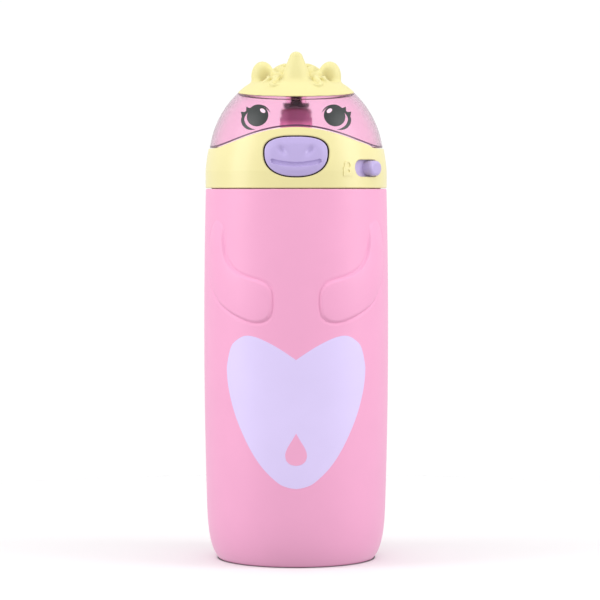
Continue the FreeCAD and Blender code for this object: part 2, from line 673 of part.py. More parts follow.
def make_dome():
    seat = above_crown(0).cut(flat_ball(CROWN_STEP, CROWN_TOP_Z))
    hollow = dome_ball(DOME_T).cut(above_crown(DOME_T - 0.3))
    hollow = hollow.fuse(flat_ball(CROWN_STEP + 1.6, CROWN_TOP_Z - 1.6))
    wall = dome_ball(0).cut(seat).cut(hollow).common(above_edge(DOME_GAP))
    wall = wall.cut(box((-HINGE_HALF - 0.2, HINGE_HALF + 0.2), (28, 45), (155, HINGE_Z + 2.9)))
    under_crown = flat_ball(CROWN_STEP + 0.8, CROWN_TOP_Z - 0.8)
    seal_boss = rod(3.9, (0, SPOUT_Y, SEAL_TOP_Z + SLACK), (0, 0, 1), 12).common(under_crown)
    stem_boss = rod(5.0, (0, STEM_Y, STEM_BOSS_Z), (0, 0, 1), 8).common(under_crown)
    tab = box((-TAB_HALF, TAB_HALF), TAB_Y, (TAB_LOW_Z, 172.3))
    root = box((-TAB_HALF, TAB_HALF), (-31.5, TAB_Y[1]), (169.4, 172.3))
    nose = box((-5, 5), (TAB_Y[1] - 0.2, TAB_Y[1] + 1.0), (TAB_LOW_Z, TAB_LOW_Z + 1.3))
    tab = fused(tab, root, nose).common(dome_ball(0.6))
    knuckles = [knuckle(x0, x1) for x0, x1 in ((-7.1, -3.1), (3.1, 7.1))]
    dome = fused(wall, seal_boss, stem_boss, tab, *knuckles)
    seal_hole = rod(2.3, (0, SPOUT_Y, 175), (0, 0, 1), 8.0)
    return dome.cut(seal_hole).cut(rod(STEM_R + 0.1, (0, STEM_Y, 175), (0, 0, 1), 30))


def knuckle(x0, x1):
    """A hinge eye on the dome, with the web that joins it to the dome's back wall."""
    eye = rod(HINGE_R, (x0, HINGE_Y, HINGE_Z), (1, 0, 0), x1 - x0)
    web = box((x0, x1), (HINGE_Y - HINGE_R, HINGE_Y + 1.2), (HINGE_Z, HINGE_Z + 4.2)).common(dome_ball(0))
    hole = rod(PIN_R + SLACK, (x0 - 1, HINGE_Y, HINGE_Z), (1, 0, 0), x1 - x0 + 2)
    return fused(eye, web).cut(hole)


def make_spout_seal():
    """Soft pad in the dome that closes the spout's tip."""
    low, top = SPOUT_TOP_Z + 0.3, SEAL_TOP_Z
    return turned_polygon([
        (0, low), (4.4, low), (5.0, low + 0.5), (5.0, top), (2.25, top), (2.25, 182.8), (0, 182.8),
    ], axis_y=SPOUT_Y)


def make_ear(side):
    """A pony's ear: it leans outwards a little and is scooped out in front."""
    ear = ellipsoid((side * 13.0, -1.0, 188.6), (4.5, 3.2, 6.3), ((0, 1, 0), side * 7))
    scoop = ellipsoid((side * 11.4, -5.4, 189.0), (2.4, 3.0, 4.2), ((0, 1, 0), side * 10))
    return ear.cut(scoop)


def make_topper():
    """Soft cap on the dome: a horn in front, two ears and tufts of curly mane."""
    inside = flat_ball(CROWN_STEP - SLACK, CROWN_TOP_Z + SLACK)
    cap = flat_ball(-0.25, TOPPER_FLAT_Z).common(above_crown(-0.1)).cut(inside)
    tip_r, base_z = 2.6, 182.5
    horn = Part.makeCone(6.9, tip_r, HORN_TIP_Z - tip_r - base_z, V(0, HORN_Y, base_z), UP)
    horn = fused(horn, ellipsoid((0, HORN_Y, HORN_TIP_Z - tip_r), (tip_r, tip_r, tip_r)))
    parts = [horn]
    for side in (-1, 1):
        parts.append(make_ear(side))
        parts.append(ellipsoid((side * 5.8, 3.0, 189.6), (3.6, 4.2, 4.0)))
        parts.append(ellipsoid((side * 7.4, -6.5, 187.4), (2.2, 2.2, 2.4)))
        parts.append(ellipsoid((side * 5.0, 13.0, 187.2), (4.2, 4.4, 3.4)))
    parts.append(ellipsoid((0, 8.0, 187.6), (3.2, 7.0, 3.6)))
    stem = rod(STEM_R, (0, STEM_Y, STEM_LOW_Z), (0, 0, 1), TOPPER_FLAT_Z - 0.6 - STEM_LOW_Z)
    foot = rod(STEM_R + 0.8, (0, STEM_Y, STEM_LOW_Z), (0, 0, 1), 0.8)
    return fused(cap, *parts).cut(inside).fuse([stem, foot]).removeSplitter()


def make_topper_clip():
    """Snap washer inside the dome that holds the topper's stem."""
    low, top = STEM_LOW_Z + 0.8 + SLACK, STEM_BOSS_Z - SLACK
    inner = STEM_R + SLACK
    return turned_polygon([(inner, low), (5.0, low), (5.0, top), (inner, top)], axis_y=STEM_Y)


# ---------------------------------------------------------------- build
def main():
    os.makedirs("parts", exist_ok=True)
    save("sleeve", make_sleeve())
    save("outer_shell", make_outer_shell())
    save("inner_vessel", make_inner_vessel())
    save("base_cap", make_base_cap())
    save("lid_gasket", make_gasket())
    save("lid_ring", make_lid_ring())
    save("lid_core", make_lid_core())
    save("spout", make_spout())
    save("straw", make_straw())
    save("vent_valve", make_vent_valve())
    save("hinge_pin", make_hinge_pin())
    save("dome_spring", make_dome_spring())
    save("button_spring_left", make_button_spring(-SPRING_X))
    save("button_spring_right", make_button_spring(SPRING_X))
    save("lock_retainer", make_lock_retainer())
    save("button", make_button())
    save("latch_frame", make_latch())
    save("lock_slider", make_lock_slider())
    save("dome", make_dome())
    save("spout_seal", make_spout_seal())
    save("topper", make_topper())
    save("topper_clip", make_topper_clip())


main()
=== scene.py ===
import math

import bmesh
import bpy
import numpy as np
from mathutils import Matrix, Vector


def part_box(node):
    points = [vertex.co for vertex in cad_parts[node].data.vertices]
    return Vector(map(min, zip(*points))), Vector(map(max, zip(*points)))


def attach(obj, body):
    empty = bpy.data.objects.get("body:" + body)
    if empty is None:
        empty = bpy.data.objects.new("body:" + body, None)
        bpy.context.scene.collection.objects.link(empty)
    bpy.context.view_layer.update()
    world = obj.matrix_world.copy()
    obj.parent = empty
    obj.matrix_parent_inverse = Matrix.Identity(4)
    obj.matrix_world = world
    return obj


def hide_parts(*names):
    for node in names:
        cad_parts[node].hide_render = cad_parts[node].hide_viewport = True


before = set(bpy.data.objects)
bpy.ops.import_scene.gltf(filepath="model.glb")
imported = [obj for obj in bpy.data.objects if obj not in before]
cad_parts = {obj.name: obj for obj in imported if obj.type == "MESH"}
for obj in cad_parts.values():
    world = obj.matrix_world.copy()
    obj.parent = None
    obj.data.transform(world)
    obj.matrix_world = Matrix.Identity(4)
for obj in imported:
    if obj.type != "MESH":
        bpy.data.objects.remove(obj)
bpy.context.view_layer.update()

import openvdb
from mathutils import Vector
from mathutils.geometry import delaunay_2d_cdt

# Looks of a kids' insulated water bottle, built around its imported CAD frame.
# Blender works in metres, +Z up, with the front towards -Y. Shapes are worked out in millimetres,
# in front view as (x, z) pairs where they lie on a curved skin, and scaled once in add_piece().
MM = 0.001


def node_box(node):
    """Lowest and highest corner of a CAD node, in millimetres."""
    return [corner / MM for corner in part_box(node)]


SLEEVE_TOP_Z = node_box("sleeve")[1].z
TOPPER_LOW, TOPPER_HIGH = node_box("topper")

# ---------------------------------------------------------------- sizes, millimetres
BARREL_PROFILE = ((35.15, 20.0), (36.2, 80.0), (35.5, SLEEVE_TOP_Z))   # radius, height
FOOT_POLES = ((30.7, 0.0), (33.6, 3.6), (34.78, 9.5), (35.15, 20.0))
SLEEVE_T = 1.5
SLEEVE_HOLE_R = 22.0
SLEEVE_BASE_R = (SLEEVE_HOLE_R, 26.0, 30.0)   # its flat base, from the hole out to the foot
SLEEVE_EDGE = 0.5            # radius of the sleeve's top edge
DETAIL_Z = (88.0, 138.0)     # the sleeve has a fine mesh between these heights
DETAIL_HALF_DEG = 78.0       # and this far round from the front

ARM_RAISE = 0.9              # height of the folded arms over the sleeve
ARM_STEP = 1.1               # width of the steep part of that rise
ARM_PILLOW = 7.0             # width of the gentle part
ARM_GROOVE = 0.34            # depth of the crease round each arm
ARM_GROOVE_W = 0.45
ARM_STEEP_SHARE = 0.6        # share of the arms' height that the steep part climbs
ARM_FADE_Z = (122.0, 136.0)  # the arm melts into the shoulder between these heights
ARM_OUTLINE = (
    (28.6, 131.0), (28.1, 125.0), (27.2, 119.6), (25.2, 115.7), (22.0, 113.0), (17.6, 111.3),
    (13.8, 110.3), (11.0, 108.8), (9.4, 106.3), (9.0, 102.6), (9.2, 99.2), (10.1, 96.3),
    (12.4, 94.5), (15.8, 94.0), (20.0, 95.0), (25.6, 97.8), (30.0, 101.6), (32.6, 107.4),
    (33.5, 114.0), (33.7, 121.0), (33.4, 128.0), (31.4, 133.0),
)
HEART_HALF = (
    (0.0, 80.1), (5.05, 83.5), (9.75, 86.2), (15.3, 88.6), (19.6, 89.0), (23.05, 87.0),
    (25.05, 84.3), (26.35, 78.7), (26.57, 74.4), (25.7, 67.2), (23.05, 57.5), (18.3, 46.8),
    (13.15, 38.9), (7.2, 33.15), (3.4, 31.3), (0.0, 30.7),
)
DROP_HALF = (
    (0.0, 52.0), (1.5, 49.4), (3.2, 46.6), (4.1, 44.0), (3.7, 41.6), (2.1, 40.1), (0.0, 39.6),
)

RING_PROFILE = ((35.6, 152.0), (34.75, 159.0), (32.4, 168.6))
DOME_A, DOME_C, DOME_BASE_Z = 34.2, 35.4, 156.4
EDGE_Z, EDGE_RISE, EDGE_HALF_ANGLE = 161.3, 7.8, 72.0    # the dome's lower edge climbs at the front
RIM_SHADE_HEIGHT = 0.6               # height of the painted shade line along that edge
RIM_HALF_ANGLE = 150.0       # the painted shade line stops short of the hinge at the back
SPOUT_PAINTED_LIGHT_Z = (169.0, 170.5)    # painted light: the spout's foot is painted paler than its top, blending between these heights

SNOUT_Z = 158.8              # height of the snout's widest place
SNOUT_HALF_W, SNOUT_UP, SNOUT_DOWN, SNOUT_GAP = 12.55, 6.66, 9.28, 0.45
SNOUT_LIP = 1.0              # how far the lip behind the ring reaches past its opening
SNOUT_LIP_DEPTH = (1.95, 2.75)
SNOUT_PROUD = 0.15           # height of the face's edge over the ring, before it is rounded
SNOUT_CROWN, SNOUT_CROWN_W = 0.4, 3.0    # extra height in the middle, and how far in it is reached
SNOUT_ROUND, SNOUT_ROUND_W = 0.45, 0.6   # how deep and how wide the edge's rounding is
NOSTRIL_X, NOSTRIL_Z, NOSTRIL_LEAN_DEG = 5.2, 159.8, 38.0
NOSTRIL_HALF = (1.1, 2.1)    # half its width and length
SMILE_R, SMILE_Z, SMILE_REACH = 34.0, 188.5, 8.7   # radius and centre of its arc, and half its length
SMILE_HALF_W = 0.85
FACE_CUT = 0.95              # depth of the nostrils and of the smile

IRIS_CENTRE, IRIS_RADII, IRIS_LEAN_DEG = (14.75, 173.1), (4.25, 3.95), -35.0
GLINT_CENTRE, GLINT_RADII, GLINT_LEAN_DEG = (12.75, 175.05), (1.15, 0.72), 35.0
INK = 0.04                   # height of printed ink over its surface
INK_ROOT = 0.02              # how far its back lies under that surface

CROWN_Z, CROWN_TILT = 183.0, 0.098       # lower edge of the topper, over the axis, and its slope
CROWN_TOP_Z, TOPPER_FLAT_Z = 185.95, 187.6
DOME_SEAT = 1.35             # how far the topper's inside lies within the dome's outline
HORN_Y = -12.0
HORN_R = (6.2, 4.9, 2.7)     # at its foot, its middle and its round tip
TOPPER_PROUD = 0.2           # how far its band stands out of the dome's outline
TOPPER_VOXEL = 0.3
SHARP_DEG = 50.0             # edges of the new meshes that bend more than this stay crisp


# ---------------------------------------------------------------- curves and distances
def circle_through(p, q, s):
    """Centre and radius of the circle through three profile points."""
    (ax, ay), (bx, by), (cx, cy) = p, q, s
    d = 2 * (ax * (by - cy) + bx * (cy - ay) + cx * (ay - by))
    a2, b2, c2 = ax * ax + ay * ay, bx * bx + by * by, cx * cx + cy * cy
    ux = (a2 * (by - cy) + b2 * (cy - ay) + c2 * (ay - by)) / d
    uy = (a2 * (cx - bx) + b2 * (ax - cx) + c2 * (bx - ax)) / d
    return ux, uy, math.hypot(ax - ux, ay - uy)


BARREL = circle_through(*BARREL_PROFILE)
RING = circle_through(*RING_PROFILE)


def barrel_r(z):
    return BARREL[0] + np.sqrt(BARREL[2] ** 2 - (z - BARREL[1]) ** 2)


def ring_r(z):
    curved = RING[0] + np.sqrt(RING[2] ** 2 - (z - RING[1]) ** 2)
    return np.where(z <= RING_PROFILE[0][1], RING_PROFILE[0][0], curved)


def smooth_step(t):
    t = np.clip(t, 0.0, 1.0)
    return t * t * (3 - 2 * t)


def bezier(poles, count):
    t = np.linspace(0, 1, count)[:, None]
    a, b, c, d = (np.array(p) for p in poles)
    return a * (1 - t) ** 3 + 3 * b * t * (1 - t) ** 2 + 3 * c * t * t * (1 - t) + d * t ** 3


def curve_through(points, closed=False, per_span=8):
    """A smooth curve through points (Catmull-Rom)."""
    p = np.array(points, float)
    if closed:
        p = np.vstack([p[-1:], p, p[:2]])
    else:
        p = np.vstack([2 * p[0] - p[1], p, 2 * p[-1] - p[-2]])
    t = np.linspace(0, 1, per_span, endpoint=False)[:, None]
    spans = []
    for a, b, c, d in zip(p, p[1:], p[2:], p[3:]):
        spans.append(0.5 * (2 * b + (c - a) * t + (2 * a - 5 * b + 4 * c - d) * t ** 2
                            + (3 * b - a - 3 * c + d) * t ** 3))
    made = np.vstack(spans)
    return made if closed else np.vstack([made, p[-2]])


def outline_of(sections):
    """A closed outline from smooth curves that meet at corners."""
    return np.vstack([curve_through(s)[:-1] for s in sections])


def mirrored_outline(half):
    """A closed outline from its right half, given from the top corner to the bottom."""
    right = curve_through(half)
    left = right[-2:0:-1] * (-1, 1)
    return np.vstack([right, left])


def ellipse(centre, radii, lean_deg, count=64):
    angle = np.linspace(0, 2 * math.pi, count, endpoint=False)
    x, z = radii[0] * np.cos(angle), radii[1] * np.sin(angle)
    c, s = math.cos(math.radians(lean_deg)), math.sin(math.radians(lean_deg))
    return np.stack([centre[0] + x * c - z * s, centre[1] + x * s + z * c], 1)


def depth_inside(points, outline):
    """Distance of each point from a closed outline, positive inside it."""
    a, b = outline, np.roll(outline, -1, 0)
    nearest = np.full(len(points), 1e9)
    inside = np.zeros(len(points), bool)
    for (ax, az), (bx, bz) in zip(a, b):
        ex, ez = bx - ax, bz - az
        px, pz = points[:, 0] - ax, points[:, 1] - az
        t = np.clip((px * ex + pz * ez) / (ex * ex + ez * ez), 0, 1)
        nearest = np.minimum(nearest, np.hypot(px - t * ex, pz - t * ez))
        if az != bz:
            inside ^= ((az > points[:, 1]) != (bz > points[:, 1])) & (px < ex * pz / ez)
    return np.where(inside, nearest, -nearest)


# ---------------------------------------------------------------- points on the curved skins
def on_turned(radius_of):
    """Maps front-view (x, z) onto a surface of revolution, lifted by a height over it."""
    def place(xz, height):
        x, z = xz[:, 0], xz[:, 1]
        r = radius_of(z)
        lift = (r + height) / r
        return np.stack([x * lift, -np.sqrt(r * r - x * x) * lift, z], 1)
    return place


def on_dome(xz, height):
    """Maps front-view (x, z) onto the front of the dome, lifted by a height over it."""
    x, z = xz[:, 0], xz[:, 1] - DOME_BASE_Z
    y = -np.sqrt(DOME_A ** 2 * (1 - (z / DOME_C) ** 2) - x * x)
    normal = np.stack([x / DOME_A ** 2, y / DOME_A ** 2, z / DOME_C ** 2], 1)
    normal /= np.linalg.norm(normal, axis=1)[:, None]
    return np.stack([x, y, xz[:, 1]], 1) + normal * np.reshape(height, (-1, 1))


on_barrel = on_turned(barrel_r)
on_ring = on_turned(ring_r)


# ---------------------------------------------------------------- materials
def srgb(red, green, blue):
    """Linear colour from display values of 0 to 255."""
    shares = [v / 255 for v in (red, green, blue)]
    linear = [s / 12.92 if s <= 0.04045 else ((s + 0.055) / 1.055) ** 2.4 for s in shares]
    return (*linear, 1.0)


def colour_mix(nodes, links, factor):
    """Sockets of a mix of two colours: the colour at factor 0, the colour at 1, and the result."""
    node = nodes.new("ShaderNodeMix")
    node.data_type = "RGBA"
    links.new(factor, node.inputs["Factor"])
    return node.inputs[6], node.inputs[7], node.outputs[2]


def moulded(name, color, roughness, grain=0.35, depth=0.004, mottle=0.03, uneven=0.05, **sockets):
    """A moulded finish: faint colour patches, uneven gloss, and a grain of that size and depth in mm."""
    made = bpy.data.materials.new(name)
    made.use_nodes = True
    nodes, links = made.node_tree.nodes, made.node_tree.links
    shader = nodes["Principled BSDF"]
    for socket, value in sockets.items():
        shader.inputs[socket.replace("_", " ")].default_value = value
    coords = nodes.new("ShaderNodeTexCoord")

    def noise(size, detail):
        node = nodes.new("ShaderNodeTexNoise")
        node.inputs["Scale"].default_value = 1 / (size * MM)
        node.inputs["Detail"].default_value = detail
        links.new(coords.outputs["Object"], node.inputs["Vector"])
        return node.outputs["Fac"]

    patch_size, gloss_size = 14.0, 3.0
    darker, lighter, patches = colour_mix(nodes, links, noise(patch_size, 4.0))
    darker.default_value = [c * (1 - mottle) for c in color[:3]] + [1.0]
    lighter.default_value = [min(1.0, c * (1 + mottle)) for c in color[:3]] + [1.0]
    links.new(patches, shader.inputs["Base Color"])

    gloss = nodes.new("ShaderNodeMapRange")
    links.new(noise(gloss_size, 3.0), gloss.inputs["Value"])
    gloss.inputs["To Min"].default_value = max(0.0, roughness - uneven)
    gloss.inputs["To Max"].default_value = roughness + uneven
    links.new(gloss.outputs["Result"], shader.inputs["Roughness"])

    bump = nodes.new("ShaderNodeBump")
    bump.inputs["Distance"].default_value = depth * MM
    links.new(noise(grain, 2.0), bump.inputs["Height"])
    links.new(bump.outputs["Normal"], shader.inputs["Normal"])
    return made


def brushed_steel(name, color, roughness):
    """Steel with fine brushing round the bottle's axis."""
    made = moulded(name, color, roughness, grain=0.5, depth=0.002, Metallic=1.0)
    nodes, links = made.node_tree.nodes, made.node_tree.links
    stretch = nodes.new("ShaderNodeMapping")
    stretch.inputs["Scale"].default_value = (0.04, 0.04, 1.0)
    links.new(nodes["Texture Coordinate"].outputs["Object"], stretch.inputs["Vector"])
    millimetre_scale = 1 / MM
    for node in nodes:
        if node.type == "TEX_NOISE" and node.inputs["Scale"].default_value > millimetre_scale:
            links.new(stretch.outputs["Vector"], node.inputs["Vector"])
    return made


def painted_light_below(material, color, low_z, high_z):
    """The given colour up to low_z, blending into the material's own at high_z, in millimetres; used to
    paint light on the lower part.
    """
    nodes, links = material.node_tree.nodes, material.node_tree.links
    base = nodes["Principled BSDF"].inputs["Base Color"]
    height = nodes.new("ShaderNodeSeparateXYZ")
    links.new(nodes["Texture Coordinate"].outputs["Object"], height.inputs["Vector"])
    share = nodes.new("ShaderNodeMapRange")
    share.inputs["From Min"].default_value = low_z * MM
    share.inputs["From Max"].default_value = high_z * MM
    links.new(height.outputs["Z"], share.inputs["Value"])
    low_colour, high_colour, blend = colour_mix(nodes, links, share.outputs["Result"])
    low_colour.default_value = color
    links.new(base.links[0].from_socket, high_colour)
    links.new(blend, base)


PINK = srgb(243, 170, 207)
LAVENDER = srgb(187, 171, 220)
CREAM = srgb(235, 225, 164)

SILICONE_PINK = moulded("pink_silicone", PINK, 0.42, grain=0.3, depth=0.003, Specular_IOR_Level=0.35)
PRINT_LAVENDER = moulded("lavender_print", srgb(223, 208, 251), 0.45, grain=0.3, depth=0.003)
PRINT_PINK = moulded("pink_print", PINK, 0.45, grain=0.3, depth=0.003)
EYE_INK = moulded("eye_ink", srgb(42, 47, 47), 0.35, grain=0.4, depth=0.002, mottle=0.12)
# Painted shade: dark ink for the line the dome's thick clear edge shows, not a colour of the dome.
RIM_PAINTED_SHADE = moulded("dome_rim_painted_shade", srgb(98, 58, 86), 0.3, grain=0.4, depth=0.002)
EYE_GLINT = moulded("eye_glint", srgb(252, 214, 232), 0.3, grain=0.4, depth=0.002)
PLASTIC_CREAM = moulded("cream_plastic", CREAM, 0.32, grain=0.25, depth=0.002)
SILICONE_CREAM = moulded("cream_silicone", srgb(228, 219, 156), 0.5, grain=0.4, depth=0.006)
PLASTIC_LAVENDER = moulded("lavender_plastic", LAVENDER, 0.34, grain=0.25, depth=0.002)
DOME_CLEAR = moulded(
    "pink_clear", srgb(255, 222, 239), 0.22, grain=6.0, depth=0.01, mottle=0.01, uneven=0.02,
    Transmission_Weight=1.0, IOR=1.18,
)
PLASTIC_LID = moulded("lid_plastic", srgb(225, 190, 205), 0.4, grain=0.3, depth=0.002)
SPOUT_SILICONE_PAINTED_LIGHT = moulded("spout_silicone", srgb(178, 116, 154), 0.4, grain=0.3, depth=0.003)
# Painted light: the spout's own mauve above, with its foot painted paler as if more brightly lit.
painted_light_below(SPOUT_SILICONE_PAINTED_LIGHT, srgb(238, 162, 208), *SPOUT_PAINTED_LIGHT_Z)
# Near-black: the spout seal's own dark silicone, darkened further as painted shade; also painted shade
# on the snout's lip and the dark card under the foot.
DARK_SEAL_AND_PAINTED_SHADE = moulded("seal_silicone", srgb(42, 27, 37), 0.45, grain=0.3, depth=0.003)
SILICONE_CLEAR = moulded(
    "clear_silicone", srgb(236, 236, 240), 0.4, grain=0.3, depth=0.003, Transmission_Weight=0.5,
)
PLASTIC_STRAW = moulded(
    "straw_plastic", srgb(244, 226, 236), 0.25, grain=0.5, depth=0.002, Transmission_Weight=0.6,
)
STEEL = brushed_steel("steel", srgb(196, 196, 200), 0.28)
PLASTIC_LATCH = moulded("latch_plastic", srgb(206, 196, 214), 0.38, grain=0.25, depth=0.002)

CAD_FINISHES = {
    STEEL: ("outer_shell", "inner_vessel", "base_cap", "hinge_pin", "dome_spring",
            "button_spring_left", "button_spring_right"),
    SILICONE_CLEAR: ("lid_gasket", "vent_valve"),
    PLASTIC_CREAM: ("lid_ring",),
    PLASTIC_LID: ("lid_core", "lock_retainer", "topper_clip"),
    SPOUT_SILICONE_PAINTED_LIGHT: ("spout",),
    PLASTIC_STRAW: ("straw",),
    PLASTIC_LATCH: ("latch_frame",),
    PLASTIC_LAVENDER: ("lock_slider",),
    DOME_CLEAR: ("dome",),
    DARK_SEAL_AND_PAINTED_SHADE: ("spout_seal",),
}


def dress_cad_nodes():
    for finish, nodes in CAD_FINISHES.items():
        for node in nodes:
            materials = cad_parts[node].data.materials
            materials.clear()
            materials.append(finish)


# ---------------------------------------------------------------- making pieces
def add_piece(name, points, faces, material, body):
    """A mesh from points in millimetres, riding on a CAD body."""
    mesh = bpy.data.meshes.new(name)
    mesh.from_pydata((np.asarray(points) * MM).tolist(), [], [list(map(int, f)) for f in faces])
    work = bmesh.new()
    work.from_mesh(mesh)
    bmesh.ops.recalc_face_normals(work, faces=work.faces)
    work.to_mesh(mesh)
    work.free()
    mesh.shade_smooth()
    mesh.set_sharp_from_angle(angle=math.radians(SHARP_DEG))
    mesh.materials.append(material)
    made = bpy.data.objects.new(name, mesh)
    bpy.context.scene.collection.objects.link(made)
    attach(made, body)
    return made


def tube_faces(rows, columns, loop):
    """Quads of a grid whose columns close on themselves, and whose rows do too if it is a loop."""
    count = rows if loop else rows - 1
    i, j = np.meshgrid(np.arange(count), np.arange(columns), indexing="ij")
    below, beside = (i + 1) % rows, (j + 1) % columns
    corners = [i * columns + j, i * columns + beside, below * columns + beside, below * columns + j]
    return np.stack(corners, -1).reshape(-1, 4)


def printed(name, outline, place, spacing, material, body, height=INK):
    """A thin layer of ink: a front-view outline, filled and laid on a curved skin."""
    low, high = outline.min(0), outline.max(0)
    xs, zs = np.arange(low[0], high[0], spacing), np.arange(low[1], high[1], spacing)
    grid = np.stack(np.meshgrid(xs, zs), -1).reshape(-1, 2)
    grid = grid[depth_inside(grid, outline) > 0.4 * spacing]
    loop = list(range(len(outline)))
    flat = [Vector(p) for p in np.vstack([outline, grid])]
    inner_triangles = 1
    found = delaunay_2d_cdt(flat, [], [loop], inner_triangles, 1e-6)
    xz, triangles = np.array([tuple(v) for v in found[0]]), found[2]
    used = sorted({i for t in triangles for i in t})
    index = {old: new for new, old in enumerate(used)}
    triangles = [tuple(index[i] for i in t) for t in triangles]
    xz, n = xz[used], len(used)
    faces = triangles + [tuple(i + n for i in reversed(t)) for t in triangles]
    faces += [(b, a, a + n, b + n) for a, b in rim_of(triangles)]
    points = np.vstack([place(xz, height), place(xz, -INK_ROOT)])
    return add_piece(name, points, faces, material, body)


def rim_of(triangles):
    """The triangles' sides that no other triangle shares."""
    sides = [(a, b) for t in triangles for a, b in zip(t, t[1:] + t[:1])]
    known = set(sides)
    return [(a, b) for a, b in sides if (b, a) not in known]


# ---------------------------------------------------------------- sleeve with its folded arms
def sleeve_profile():
    """The sleeve's closed section as (radius, height) rows, and which rows are its outside."""
    low, top = BARREL_PROFILE[0][1], SLEEVE_TOP_Z
    low_step, fine_step, top_step = 2.5, 0.35, 1.3
    plain_low = np.arange(low + low_step, DETAIL_Z[0], low_step)
    detailed = np.arange(*DETAIL_Z, fine_step)
    plain_top = np.arange(DETAIL_Z[1], top - SLEEVE_EDGE, top_step)
    heights = np.concatenate([plain_low, detailed, plain_top, [top - SLEEVE_EDGE]])
    foot = bezier(FOOT_POLES, 18)
    barrel = np.stack([barrel_r(heights), heights], 1)
    turn = np.linspace(0, math.pi / 2, 6)[1:]
    edge_r = barrel[-1, 0] - SLEEVE_EDGE
    edge = np.stack([edge_r + SLEEVE_EDGE * np.cos(turn), top - SLEEVE_EDGE * (1 - np.sin(turn))], 1)
    back = np.linspace(top, low, 14)
    inside = np.stack([barrel_r(back) - SLEEVE_T, back], 1)
    inner_foot = bezier(FOOT_POLES, 8)[::-1][1:] - (SLEEVE_T, 0)
    inner_foot[:, 1] = np.maximum(inner_foot[:, 1], SLEEVE_T)
    base = [(SLEEVE_HOLE_R, SLEEVE_T)] + [(r, 0.0) for r in SLEEVE_BASE_R]
    return np.vstack([foot, barrel, edge, inside, inner_foot, base]), len(foot) + len(barrel)


def arm_height(angle, z):
    """How far the folded arms stand out of the sleeve, by angle from the front and height."""
    radius = BARREL_PROFILE[1][0]
    outline = curve_through([(radius * math.asin(x / radius), h) for x, h in ARM_OUTLINE], closed=True)
    depth = depth_inside(np.stack([np.abs(angle) * radius, z], 1), outline)
    steep = smooth_step(depth / ARM_STEP)
    pillow = 1 - (1 - np.clip(depth / ARM_PILLOW, 0, 1)) ** 2
    groove = ARM_GROOVE * np.exp(-((depth + 0.3 * ARM_GROOVE_W) / ARM_GROOVE_W) ** 2)
    fade = 1 - smooth_step((z - ARM_FADE_Z[0]) / (ARM_FADE_Z[1] - ARM_FADE_Z[0]))
    rise = ARM_STEEP_SHARE * steep + (1 - ARM_STEEP_SHARE) * pillow
    return fade * (ARM_RAISE * rise - groove)


def make_sleeve():
    profile, outside_rows = sleeve_profile()
    fine_deg, coarse_deg = 0.6, 3.0
    fine = np.arange(-DETAIL_HALF_DEG, DETAIL_HALF_DEG, fine_deg)
    coarse = np.arange(DETAIL_HALF_DEG, 360 - DETAIL_HALF_DEG, coarse_deg)
    angles = np.radians(np.concatenate([fine, coarse]))
    angles = np.where(angles > math.pi, angles - 2 * math.pi, angles)
    radius = np.repeat(profile[:, 0], len(angles))
    z = np.repeat(profile[:, 1], len(angles))
    angle = np.tile(angles, len(profile))
    near = (np.abs(angle) < math.radians(DETAIL_HALF_DEG)) & (z > DETAIL_Z[0]) & (z < DETAIL_Z[1])
    near &= np.arange(len(z)) < outside_rows * len(angles)
    radius[near] += arm_height(angle[near], z[near])
    points = np.stack([radius * np.sin(angle), -radius * np.cos(angle), z], 1)
    faces = tube_faces(len(profile), len(angles), loop=True)
    made = add_piece("sleeve_skin", points, faces, SILICONE_PINK, "bottle")
    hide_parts("sleeve")


def make_prints():
    """The heart on the belly with a small water drop in it."""
    heart = mirrored_outline(HEART_HALF)
    printed("heart_print", heart, on_barrel, 1.2, PRINT_LAVENDER, "bottle")
    drop = mirrored_outline(DROP_HALF)
    printed("drop_print", drop, on_barrel, 0.8, PRINT_PINK, "bottle", 2 * INK)


# ---------------------------------------------------------------- eyes on the dome
LASH_SECTIONS = (
    ((9.7, 174.25), (10.6, 175.7), (11.95, 176.9), (13.9, 177.5), (15.85, 177.35), (17.75, 176.2)),
    ((17.75, 176.2), (19.15, 176.75)),
    ((19.15, 176.75), (19.2, 175.1)),
    ((19.2, 175.1), (19.8, 174.7)),
    ((19.8, 174.7), (21.25, 174.85)),
    ((21.25, 174.85), (20.85, 173.05)),
    ((20.85, 173.05), (21.15, 171.7), (20.75, 169.9), (19.4, 168.35), (17.7, 167.75), (15.55, 167.8)),
    ((15.55, 167.8), (17.3, 168.4), (18.85, 169.5), (19.75, 171.1), (19.8, 172.45), (19.1, 173.8),
     (17.75, 175.35), (16.4, 176.1), (14.25, 176.65), (12.35, 176.55), (11.0, 175.5), (9.7, 174.25)),
)


def make_eyes():
    for side, word in ((-1, "left"), (1, "right")):
        flip = (side, 1)
        iris = ellipse(IRIS_CENTRE, IRIS_RADII, IRIS_LEAN_DEG) * flip
        lash = outline_of(LASH_SECTIONS) * flip
        glint = ellipse(GLINT_CENTRE, GLINT_RADII, GLINT_LEAN_DEG, 32) * flip
        printed(f"iris_{word}", iris, on_dome, 0.6, EYE_INK, "dome")
        printed(f"lash_{word}", lash, on_dome, 0.5, EYE_INK, "dome", 0.8 * INK)
        printed(f"glint_{word}", glint, on_dome, 0.4, EYE_GLINT, "dome", 2 * INK)


def dome_r(z):
    return DOME_A * np.sqrt(1 - ((z - DOME_BASE_Z) / DOME_C) ** 2)


